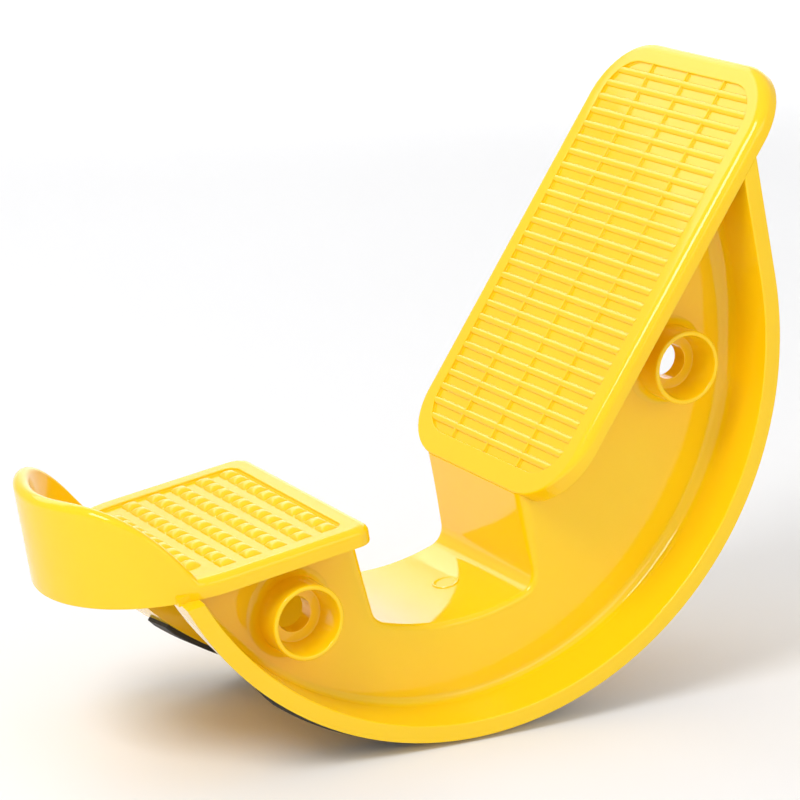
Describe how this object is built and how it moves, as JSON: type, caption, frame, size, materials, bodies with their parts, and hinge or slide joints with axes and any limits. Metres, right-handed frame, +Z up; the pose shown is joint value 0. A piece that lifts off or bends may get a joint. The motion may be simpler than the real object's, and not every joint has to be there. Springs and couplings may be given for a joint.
{
  "type": "foot rocker",
  "caption": "Yellow plastic foot rocker for calf stretching: a steep ribbed foot plate, a studded heel plate with a raised cup, and two curved runners with rubber grip strips.",
  "frame": {"origin": "on the floor, where the rocker touches it, on the mid plane", "axes": "+X towards the toes, +Y to the user's left, +Z up"},
  "size_m": [0.3275, 0.13, 0.2709],
  "materials": {
    "body": "gloss",
    "grip": "matt"
  },
  "bodies": {
    "root": {"foot_plate": "body", "foot_tread": "body", "foot_plate_ribs": "body", "heel_plate": "body", "heel_studs": "body", "heel_plate_ribs": "body", "heel_cup": "body", "toe_riser": "body", "instep_floor": "body", "heel_riser": "body", "cross_webs": "body", "side_wall_left": "body", "side_wall_right": "body", "runner_left": "body", "runner_right": "body", "toe_socket_left": "body", "toe_socket_right": "body", "heel_socket_left": "body", "heel_socket_right": "body", "grip_strip_left": "grip", "grip_strip_right": "grip"}
  },
  "joints": []
}
